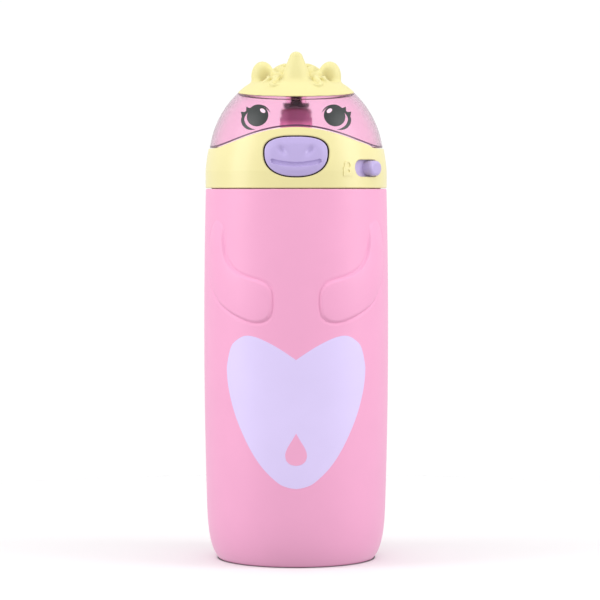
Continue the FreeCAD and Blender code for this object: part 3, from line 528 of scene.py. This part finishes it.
def make_dome_rim():
    """Painted shade: opaque dark ink along the dome's thick lower edge, standing in for the dark line
    that clear edge shows above the ring.
    """
    angles = np.radians(np.arange(-RIM_HALF_ANGLE, RIM_HALF_ANGLE + 1))
    low = np.full(len(angles), EDGE_Z)
    settling_rounds = 3
    for _ in range(settling_rounds):
        x = dome_r(low) * np.sin(angles)
        share = np.degrees(np.arcsin(x / DOME_A)) / EDGE_HALF_ANGLE
        share = np.where(np.cos(angles) > 0, np.clip(share, -1, 1), 1)
        low = EDGE_Z + EDGE_RISE * np.cos(math.pi / 2 * share) ** 2
    corners = []
    high = low + RIM_SHADE_HEIGHT
    for z, lift in ((low, -INK_ROOT), (high, -INK_ROOT), (high, INK), (low, INK)):
        r = dome_r(z) + lift
        corners.append(np.stack([r * np.sin(angles), -r * np.cos(angles), z], 1))
    points = np.stack(corners, 1).reshape(-1, 3)
    faces = tube_faces(len(angles), len(corners), loop=False).tolist()
    last = len(points) - len(corners)
    faces += [(3, 2, 1, 0), (last, last + 1, last + 2, last + 3)]
    add_piece("dome_rim_painted_shade", points, faces, RIM_PAINTED_SHADE, "dome")


# ---------------------------------------------------------------- snout button
def snout_edge(inset, count):
    """The button's outline: a rounded snout, fuller at the top than below."""
    angle = np.linspace(0, 2 * math.pi, count, endpoint=False)
    c, s = np.cos(angle), np.sin(angle)
    power = np.where(s > 0, 2.75, 2.3)
    height = np.where(s > 0, SNOUT_UP, SNOUT_DOWN)
    x = (SNOUT_HALF_W - inset) * np.sign(c) * np.abs(c) ** (2 / power)
    z = SNOUT_Z + (height - inset) * np.sign(s) * np.abs(s) ** (2 / power)
    return np.stack([x, z], 1)


def snout_relief(xz, depth):
    """Height of the snout's face over the lid ring's skin: crown, nostrils and a smile."""
    x, z = xz[:, 0], xz[:, 1]
    edge = 1 - np.clip(depth / SNOUT_ROUND_W, 0, 1)
    face = SNOUT_PROUD + SNOUT_CROWN * smooth_step(depth / SNOUT_CROWN_W)
    face -= SNOUT_ROUND * (1 - np.sqrt(1 - edge ** 2))
    lean = math.radians(NOSTRIL_LEAN_DEG)
    dx, dz = np.abs(x) - NOSTRIL_X, z - NOSTRIL_Z
    across = dx * math.cos(lean) - dz * math.sin(lean)
    along = dx * math.sin(lean) + dz * math.cos(lean)
    face -= FACE_CUT * np.exp(-((across / NOSTRIL_HALF[0]) ** 2 + (along / NOSTRIL_HALF[1]) ** 2))
    off_arc = np.hypot(x, z - SMILE_Z) - SMILE_R
    past_end = np.maximum(0, np.abs(x) - SMILE_REACH)
    groove = np.clip(1 - (np.hypot(off_arc, past_end) / SMILE_HALF_W) ** 2, 0, 1)
    return face - FACE_CUT * np.where(z < SMILE_Z, np.sqrt(groove), 0)


def make_snout():
    count, rings, crowding, drop = 200, 72, 1.35, 0.6
    edge = snout_edge(SNOUT_GAP, count)
    shares = 1 - np.linspace(0, 1, rings, endpoint=False) ** crowding
    centre = np.array((0.0, SNOUT_Z - drop))
    rows = [centre + (edge - centre) * share for share in shares]
    front = np.vstack(rows + [centre[None]])
    depth = depth_inside(front, edge)
    depth[:count] = 0
    face = on_ring(front, snout_relief(front, depth))
    lip_edge = snout_edge(-SNOUT_LIP, count)
    lip = [on_ring(lip_edge, -SNOUT_LIP_DEPTH[1]), on_ring(lip_edge, -SNOUT_LIP_DEPTH[0]),
           on_ring(edge, -SNOUT_LIP_DEPTH[0])]
    back = on_ring(centre[None], -SNOUT_LIP_DEPTH[1])
    points = np.vstack(lip + [face, back])
    rows = rings + len(lip)
    faces = tube_faces(rows, count, loop=False).tolist()
    tip, last = rows * count, (rows - 1) * count
    faces += [(last + i, last + (i + 1) % count, tip) for i in range(count)]
    faces += [((i + 1) % count, i, tip + 1) for i in range(count)]
    made = add_piece("snout_button", points, faces, PLASTIC_LAVENDER, "button")
    # Painted shade: the lip behind the ring and the button's back get the near-black seal material, so
    # the gap round the button shows dark.
    made.data.materials.append(DARK_SEAL_AND_PAINTED_SHADE)
    for face_made in made.data.polygons:
        if max(face_made.vertices) < len(lip) * count or tip + 1 in face_made.vertices:
            face_made.material_index = 1
    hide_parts("button")


# ---------------------------------------------------------------- soft topper
class Clay:
    """A solid built up on a grid of distances, in millimetres, with soft joins."""

    def __init__(self, low, high, step):
        self.low, self.step = np.array(low, float), step
        axes = [np.arange(a, b, step, dtype=np.float32) for a, b in zip(low, high)]
        self.x, self.y, self.z = np.meshgrid(*axes, indexing="ij")
        self.value = np.full(self.x.shape, 1e3, np.float32)

    def ball(self, centre, radii, lean_deg=0.0):
        """Distance to an ellipsoid that leans outwards in front view."""
        dx, dy, dz = self.x - centre[0], self.y - centre[1], self.z - centre[2]
        c, s = math.cos(math.radians(lean_deg)), math.sin(math.radians(lean_deg))
        dx, dz = dx * c - dz * s, dx * s + dz * c
        scaled = np.sqrt((dx / radii[0]) ** 2 + (dy / radii[1]) ** 2 + (dz / radii[2]) ** 2)
        slope = np.sqrt((dx / radii[0] ** 2) ** 2 + (dy / radii[1] ** 2) ** 2
                        + (dz / radii[2] ** 2) ** 2)
        return scaled * (scaled - 1) / np.maximum(slope, 1e-6)

    def dome(self, grown):
        """Distance to the dome's outline, grown by that much all over."""
        return self.ball((0, 0, DOME_BASE_Z), (DOME_A + grown, DOME_A + grown, DOME_C + grown))

    def strand(self, points, radii):
        """Distance to a lock of hair that tapers along a smooth curve."""
        line = curve_through([(*p, r) for p, r in zip(points, radii)], per_span=4)
        near = np.full(self.x.shape, 1e3, np.float32)
        for a, b in zip(line, line[1:]):
            e = b[:3] - a[:3]
            px, py, pz = self.x - a[0], self.y - a[1], self.z - a[2]
            t = np.clip((px * e[0] + py * e[1] + pz * e[2]) / (e @ e), 0, 1)
            gap = np.sqrt((px - t * e[0]) ** 2 + (py - t * e[1]) ** 2 + (pz - t * e[2]) ** 2)
            near = np.minimum(near, gap - (a[3] + t * (b[3] - a[3])))
        return near

    def add(self, distance, soft):
        mix = np.clip(0.5 + 0.5 * (self.value - distance) / soft, 0, 1)
        self.value = self.value * (1 - mix) + distance * mix - soft * mix * (1 - mix)

    def carve(self, distance, soft):
        mix = np.clip(0.5 - 0.5 * (self.value + distance) / soft, 0, 1)
        self.value = self.value * (1 - mix) - distance * mix + soft * mix * (1 - mix)

    def mesh(self):
        """Points and faces of the solid's skin."""
        band = 3 * self.step
        grid = openvdb.FloatGrid(band)
        grid.copyFromArray(np.clip(self.value, -band, band).astype(np.float32))
        points, triangles, quads = grid.convertToPolygons(isovalue=0.0, adaptivity=0.0)
        return points * self.step + self.low, triangles.tolist() + quads.tolist()


def shape_hair(clay):
    """Tufts of curly mane: two lumps behind the horn, a crest to the back, and curls in front."""
    for side in (-1, 1):
        clay.add(clay.ball((side * 6.0, 1.5, 188.6), (3.6, 4.0, 4.8)), 1.2)
        clay.add(clay.ball((side * 4.6, 12.0, 186.6), (4.4, 5.0, 3.4)), 1.2)
        clay.add(clay.ball((side * 8.0, -3.6, 187.6), (3.2, 3.4, 3.4)), 0.8)
        clay.add(clay.strand(
            [(side * 10.4, -10.5, 188.0), (side * 8.6, -12.2, 188.1), (side * 7.4, -14.2, 188.0),
             (side * 8.4, -16.2, 186.9), (side * 9.6, -17.6, 185.7), (side * 8.6, -19.0, 185.0),
             (side * 6.8, -19.0, 185.4)],
            (0.5, 1.0, 1.2, 1.1, 0.9, 0.7, 0.4)), 0.3)
        clay.add(clay.strand(
            [(side * 11.6, -8.6, 188.6), (side * 10.6, -11.2, 188.2), (side * 11.2, -13.0, 187.2),
             (side * 12.6, -12.8, 186.8)],
            (0.4, 0.9, 0.9, 0.4)), 0.4)
        clay.add(clay.strand(
            [(side * 1.0, 4.0, 193.0), (side * 4.6, 5.0, 193.2), (side * 8.6, 6.6, 190.8),
             (side * 9.6, 9.6, 188.0), (side * 7.4, 12.0, 187.6)],
            (0.7, 1.4, 1.7, 1.4, 0.6)), 0.6)
        clay.add(clay.strand(
            [(side * 0.8, 8.6, 191.6), (side * 4.2, 10.6, 190.8), (side * 7.4, 13.6, 188.2),
             (side * 6.6, 16.6, 185.8), (side * 3.8, 17.4, 185.2)],
            (0.7, 1.4, 1.6, 1.2, 0.5)), 0.6)
    clay.add(clay.ball((0, 8.0, 188.6), (3.2, 7.0, 4.0)), 1.5)


def shape_ears(clay):
    for side in (-1, 1):
        clay.add(clay.ball((side * 13.0, -1.0, 188.9), (4.6, 3.4, 6.2), side * 5), 1.6)
        clay.carve(clay.ball((side * 11.5, -6.2, 188.4), (2.4, 3.0, 4.2), side * 12), 1.8)


def make_topper():
    margin, under_crown = 1.5, 178.0
    low = (TOPPER_LOW.x - margin, TOPPER_LOW.y - margin, under_crown)
    high = (TOPPER_HIGH.x + margin, TOPPER_HIGH.y + margin, TOPPER_HIGH.z + margin)
    clay = Clay(low, high, TOPPER_VOXEL)
    clay.add(clay.dome(TOPPER_PROUD), 0.01)
    clay.carve(TOPPER_FLAT_Z - clay.z, 2.0)
    horn = [(0, HORN_Y, z) for z in (184.4, 189.6, TOPPER_HIGH.z - HORN_R[2])]
    clay.add(clay.strand(horn, HORN_R), 1.6)
    shape_hair(clay)
    shape_ears(clay)
    clay.carve(np.maximum(clay.dome(-DOME_SEAT), clay.z - CROWN_TOP_Z), 0.2)
    clay.carve(clay.z - (CROWN_Z + CROWN_TILT * clay.y), 0.4)
    points, faces = clay.mesh()
    made = add_piece("topper_soft", points, faces, SILICONE_CREAM, "dome")
    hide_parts("topper")


# ---------------------------------------------------------------- stage
def aim(obj, target):
    obj.rotation_euler = (Vector(target) - obj.location).to_track_quat("-Z", "Y").to_euler()


def add_softbox(name, place, target, size, power, mirrored=True):
    """A lit panel of that size in metres and power in watts, which gloss mirrors or not."""
    light = bpy.data.lights.new(name, "AREA")
    light.shape = "RECTANGLE"
    light.size, light.size_y = size
    light.energy = power
    made = bpy.data.objects.new(name, light)
    made.location = place
    made.visible_glossy = mirrored
    bpy.context.scene.collection.objects.link(made)
    aim(made, target)


def set_stage():
    scene = bpy.context.scene
    scene.view_settings.view_transform = "Standard"
    world = bpy.data.worlds.new("studio")
    scene.world = world
    world.use_nodes = True
    light_world(world.node_tree.nodes, world.node_tree.links)
    middle = (0, 0, 0.12)
    add_softbox("softbox_left", (-0.75, -0.2, 0.42), middle, (0.4, 0.8), 3.0)
    add_softbox("softbox_right", (0.75, -0.2, 0.42), middle, (0.4, 0.8), 3.0)
    add_softbox("top_light", (0, -0.05, 0.95), middle, (0.9, 0.9), 1.5)
    add_softbox("front_fill", (0, -1.3, 0.1), middle, (0.9, 0.5), 3.0, mirrored=False)
    add_floor()


def light_world(nodes, links):
    """White to look at, dark in front for reflections, and a soft light that is dimmer from below."""
    backdrop = nodes["Background"]
    backdrop.inputs["Color"].default_value = (1, 1, 1, 1)
    coords = nodes.new("ShaderNodeTexCoord")
    direction = nodes.new("ShaderNodeSeparateXYZ")
    links.new(coords.outputs["Generated"], direction.inputs["Vector"])

    def ramp(axis, start, end, low, high):
        node = nodes.new("ShaderNodeMapRange")
        for socket, value in zip(("From Min", "From Max", "To Min", "To Max"),
                                 (start, end, low, high)):
            node.inputs[socket].default_value = value
        links.new(direction.outputs[axis], node.inputs["Value"])
        return node.outputs["Result"]

    just_over_white = 1.02
    path = nodes.new("ShaderNodeLightPath")
    seen = nodes.new("ShaderNodeMix")
    seen.inputs["A"].default_value = just_over_white
    links.new(path.outputs["Glossy Depth"], seen.inputs["Factor"])
    links.new(ramp("Y", -0.6, 0.4, 0.3, 1.0), seen.inputs["B"])
    strength = nodes.new("ShaderNodeMix")
    links.new(path.outputs["Diffuse Depth"], strength.inputs["Factor"])
    links.new(seen.outputs["Result"], strength.inputs["A"])
    links.new(ramp("Z", -0.35, 0.25, 0.5, 0.8), strength.inputs["B"])
    links.new(strength.outputs["Result"], backdrop.inputs["Strength"])


def add_round_sheet(name, radius, height, material):
    work = bmesh.new()
    bmesh.ops.create_circle(work, cap_ends=True, segments=96, radius=radius)
    mesh = bpy.data.meshes.new(name)
    work.to_mesh(mesh)
    work.free()
    mesh.materials.append(material)
    sheet = bpy.data.objects.new(name, mesh)
    sheet.location.z = height
    bpy.context.scene.collection.objects.link(sheet)
    return sheet


def add_floor():
    """White paper that catches shadows. A dark card under the foot keeps light out of the gap there."""
    paper = moulded("floor_paper", srgb(242, 242, 242), 0.9, grain=2.0, mottle=0.005)
    floor = add_round_sheet("floor", 0.3, -0.0002, paper)
    floor.visible_diffuse = False
    floor.visible_glossy = False
    card = add_round_sheet("dark_card", 0.0312, -0.0001, DARK_SEAL_AND_PAINTED_SHADE)
    card.visible_camera = False


def set_camera():
    camera = bpy.data.objects.new("camera", bpy.data.cameras.new("camera"))
    camera.data.lens = 157.0
    camera.data.sensor_width = 36.0
    camera.location = (0.0015, -1.03, 0.1455)
    look_down_deg = 2.45
    camera.rotation_euler = (math.radians(90 - look_down_deg), 0, 0)
    bpy.context.scene.collection.objects.link(camera)
    bpy.context.scene.camera = camera


set_camera()
set_stage()
dress_cad_nodes()
make_sleeve()
make_prints()
make_eyes()
make_dome_rim()
make_snout()
make_topper()
